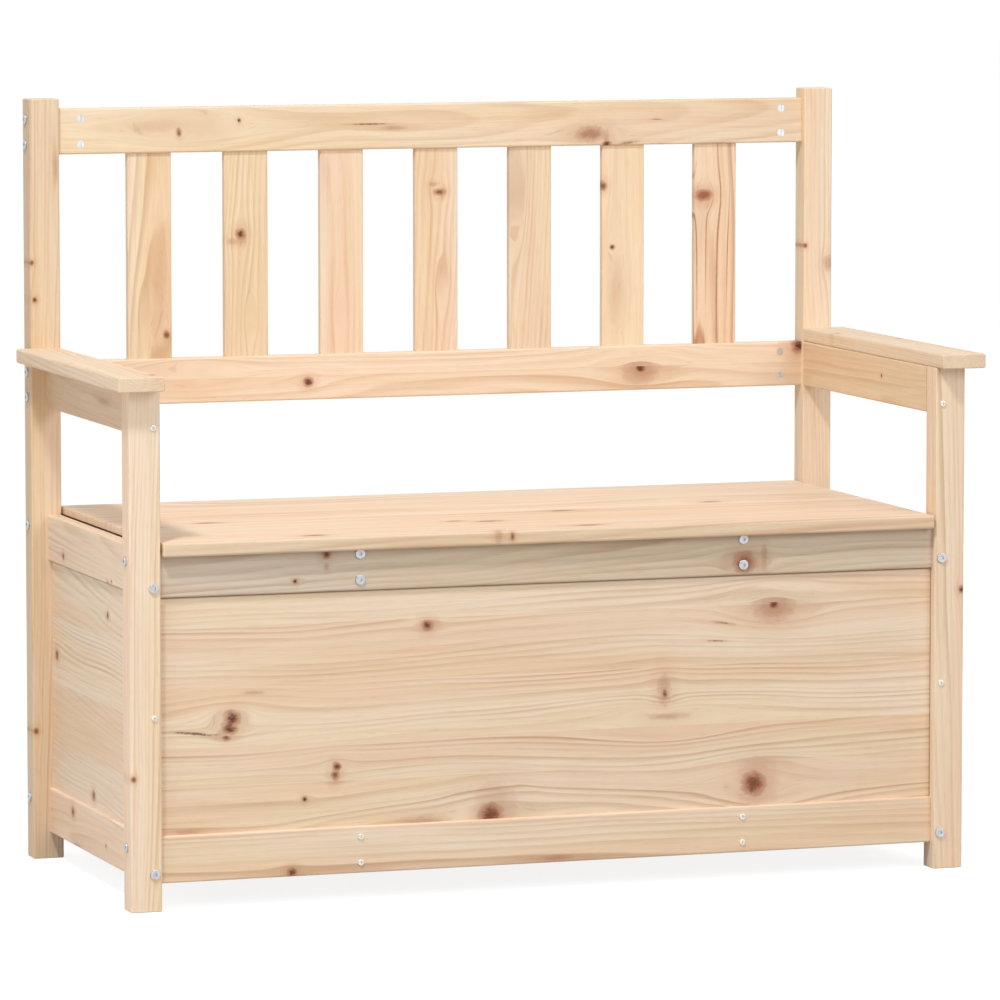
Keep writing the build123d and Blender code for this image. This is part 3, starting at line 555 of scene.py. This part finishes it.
# Sides of the box
lay_board("side_panel_left", "side", SAND, pith=(190.0, 90.0), ring=7.0, seed=51.0, lean=(0.06, 0.02),
          wander=44.0, gap_shades=[rail_gap_shade], staves=[152.0, 228.0, 310.0],
          knots=[(197, 263, 7.0, "red"), (-41, 340, 5.0, "dark"), (28, 107, 7.0, "red")])
lay_board("side_panel_right", "side", SAND, pith=(-190.0, 90.0), ring=7.0, seed=52.0, lean=(0.05, 0.02),
          wander=44.0, gap_shades=[rail_gap_shade], staves=[150.0, 236.0, 304.0], wild=4)
side_rail_knots = {
    "left": ([(147, 394, 4.5, "dark"), (-75, 386, 3.0, "pin")],
             [(109, 75, 7.0, "dark"), (81, 92, 1.2, "sliver"), (-43, 54, 3.0, "pin")]),
    "right": ([], []),
}
for label, seed in (("left", 53.0), ("right", 55.0)):
    upper, lower = side_rail_knots[label]
    lay_board(f"side_top_rail_{label}", "side", SAND, pith=(24.0, 50.0), ring=4.0, seed=seed,
              knots=upper, wild=1)
    lay_board(f"side_bottom_rail_{label}", "side", CREAM, pith=(-24.0, 46.0), ring=4.0, seed=seed + 1.0,
              knots=lower, wild=1)

# Back of the box
lay_board("rear_panel", "rail", SAND, pith=(80.0, 140.0), ring=5.4, seed=61.0, lean=(0.02, 0.01),
          wander=40.0, line=0.9, staves=[140.0, 214.0, 300.0], wild=9)
lay_board("rear_top_rail", "rail", SAND, pith=(22.0, 50.0), ring=4.2, seed=62.0, lean=(0.01, 0.02),
          wander=16.0, wild=3)
lay_board("rear_bottom_rail", "rail", HONEY, pith=(-26.0, 54.0), ring=4.2, seed=63.0, lean=(0.01, 0.02),
          wander=16.0, wild=3)

# Lid
lay_board("lid_panel", "lid", PEACH, pith=(330.0, -150.0), ring=24.0, seed=71.0, lean=(0.03, 0.01),
          wander=90.0, staves=[-140.0, -52.0, 44.0, 136.0], knots=[
    (-303, -205, 8.0, "oval"), (-48, -118, 8.0, "oval"), (-88, -108, 6.0, "oval"), (78, -30, 8.0, "oval"),
    (53, -200, 8.0, "oval"), (-385, -26, 8.0, "oval"), (295, 10, 7.0, "oval"), (-70, -226, 12.0, "smear"),
])
lay_board("lid_lip", "rail", HONEY, pith=(14.0, 40.0), ring=4.0, seed=72.0, lean=(0.01, 0.01), wander=12.0,
          knots=[(-76, 443, 10.0, "smear"), (-58, 442, 5.0, "drop")])
for label, seed in (("left", 73.0), ("middle", 74.0), ("right", 75.0)):
    lay_board(f"lid_batten_{label}", "arm", HONEY, pith=(12.0, 40.0), ring=3.8, seed=seed, wild=2)

# Inside the box
for label, seed in (("left", 81.0), ("right", 84.0)):
    lay_board(f"seat_bearer_{label}", "side", HONEY, pith=(20.0, 44.0), ring=4.0, seed=seed, wild=1)
    lay_board(f"floor_bearer_{label}", "side", HONEY, pith=(-20.0, 48.0), ring=4.0, seed=seed + 1.0)
    lay_board(f"floor_cleat_{label}", "side", HONEY, pith=(10.0, 30.0), ring=3.4, seed=seed + 2.0,
              wander=10.0)
for number in range(1, 5):
    lay_board(f"floor_board_{number}", "lid", HONEY, pith=(-30.0 + 20.0 * number, 60.0), ring=4.6,
              seed=90.0 + number, wander=20.0, line=0.85, wild=4)
lay_board("arm_dowels", "upright", HONEY, pith=(30.0, 30.0), ring=1.6, seed=97.0, lean=(0.0, 0.0), wander=4.0,
          line=0.5)

# Fittings
bright_zinc = zinc("bright_zinc", (0.58, 0.58, 0.61, 1.0), roughness=0.42, streak=1.0)
clean_zinc = zinc("clean_zinc", (0.76, 0.77, 0.77, 1.0), roughness=0.34, streak=1.0)
dull_zinc = zinc("dull_zinc", (0.6, 0.6, 0.58, 1.0), roughness=0.42, streak=0.2)
pale_zinc = zinc("pale_zinc", (0.78, 0.75, 0.69, 1.0), roughness=0.5, streak=1.0)
for node in ("rail_bolts", "side_frame_bolts", "bearer_bolts", "floor_screws", "batten_screws",
             "hinge_frame_screws", "hinge_lid_screws"):
    dress(node, bright_zinc)
dress("barrel_nuts", clean_zinc)
dress("frame_screws", pale_zinc)
for label in ("left", "right"):
    for piece in ("frame_leaf", "lid_leaf", "pin"):
        dress(f"hinge_{piece}_{label}", dull_zinc)


def seen_directly(w):
    """One where the camera, a reflection or a see-through ray looks, nought for light on the object."""
    path = w.add("ShaderNodeLightPath").outputs
    rays = w.math("MAXIMUM", path["Is Camera Ray"], path["Is Glossy Ray"])
    return w.math("MAXIMUM", rays, path["Is Transmission Ray"])


FLOOR_LIT = (0.5, 0.5, 0.49, 1.0)  # the floor as it lights the object
FLOOR_SEEN = (0.3, 0.3, 0.3, 1.0)  # the floor as it is seen, which takes the shadow
FLOOR_GLOW = 0.87  # and what makes it white


def make_floor(half_side):
    """A flat square on a grid of two by two points, at the height of the feet."""
    mesh = bpy.data.meshes.new("floor")
    edge = np.array([-half_side, half_side])
    x, y = np.meshgrid(edge, edge)
    corners = np.column_stack([x.ravel(), y.ravel(), np.zeros(4)])
    mesh.from_pydata(corners.tolist(), [], [(0, 1, 3, 2)])
    floor = bpy.data.objects.new("floor", mesh)
    bpy.context.scene.collection.objects.link(floor)
    material, w = new_material("white_floor")
    seen = seen_directly(w)
    lit = w.add("ShaderNodeBsdfDiffuse", {"Color": w.mix(seen, FLOOR_LIT, FLOOR_SEEN)})
    glow = w.add("ShaderNodeEmission", {"Color": WHITE, "Strength": w.math("MULTIPLY", seen, FLOOR_GLOW)})
    both = w.add("ShaderNodeAddShader", {0: lit.outputs[0], 1: glow.outputs[0]})
    w.add("ShaderNodeOutputMaterial", {"Surface": both.outputs[0]})
    mesh.materials.append(material)


def make_world(strength):
    """White where the camera looks, and soft light all round for the object."""
    world = bpy.data.worlds.new("studio")
    bpy.context.scene.world = world
    world.use_nodes = True
    world.node_tree.nodes.clear()
    w = Wiring(world.node_tree)
    seen = seen_directly(w)
    level = w.math("ADD", w.math("MULTIPLY", seen, 1.0 - strength), strength)
    shine = w.add("ShaderNodeBackground", {"Color": WHITE, "Strength": level})
    w.add("ShaderNodeOutputWorld", {"Surface": shine.outputs[0]})


def softbox(name, place, target, size, power):
    """A square lamp that looks at a point."""
    lamp = bpy.data.lights.new(name, "AREA")
    lamp.size = size
    lamp.energy = power
    holder = bpy.data.objects.new(name, lamp)
    holder.location = place
    holder.rotation_euler = (Vector(target) - Vector(place)).to_track_quat("-Z", "Y").to_euler()
    bpy.context.scene.collection.objects.link(holder)


make_floor(half_side=30.0)
make_world(strength=0.45)
softbox("key", place=(-1.77, -1.88, 4.25), target=(0.0, 0.0, 0.45), size=0.5, power=104.0)
softbox("front", place=(2.2, -4.3, 3.0), target=(0.0, 0.0, 0.5), size=2.6, power=83.0)
softbox("left", place=(-1.35, -0.5, 0.42), target=(-0.55, -0.05, 0.35), size=0.7, power=2.1)

# Camera: fitted to the photograph, with no lens shift
camera_place = (-2.71994, -7.86379, 1.31294)
camera_turn = 0.33382872  # to the right of straight ahead
camera_dip = 0.10194748  # below level
camera_data = bpy.data.cameras.new("camera")
camera_data.sensor_width = 36.0
camera_data.lens = 238.934
camera = bpy.data.objects.new("camera", camera_data)
camera.location = camera_place
camera.rotation_euler = (math.pi / 2 - camera_dip, 0.0, -camera_turn)
bpy.context.scene.collection.objects.link(camera)
bpy.context.scene.camera = camera
bpy.context.scene.view_settings.view_transform = "Standard"

bpy.context.view_layer.update()
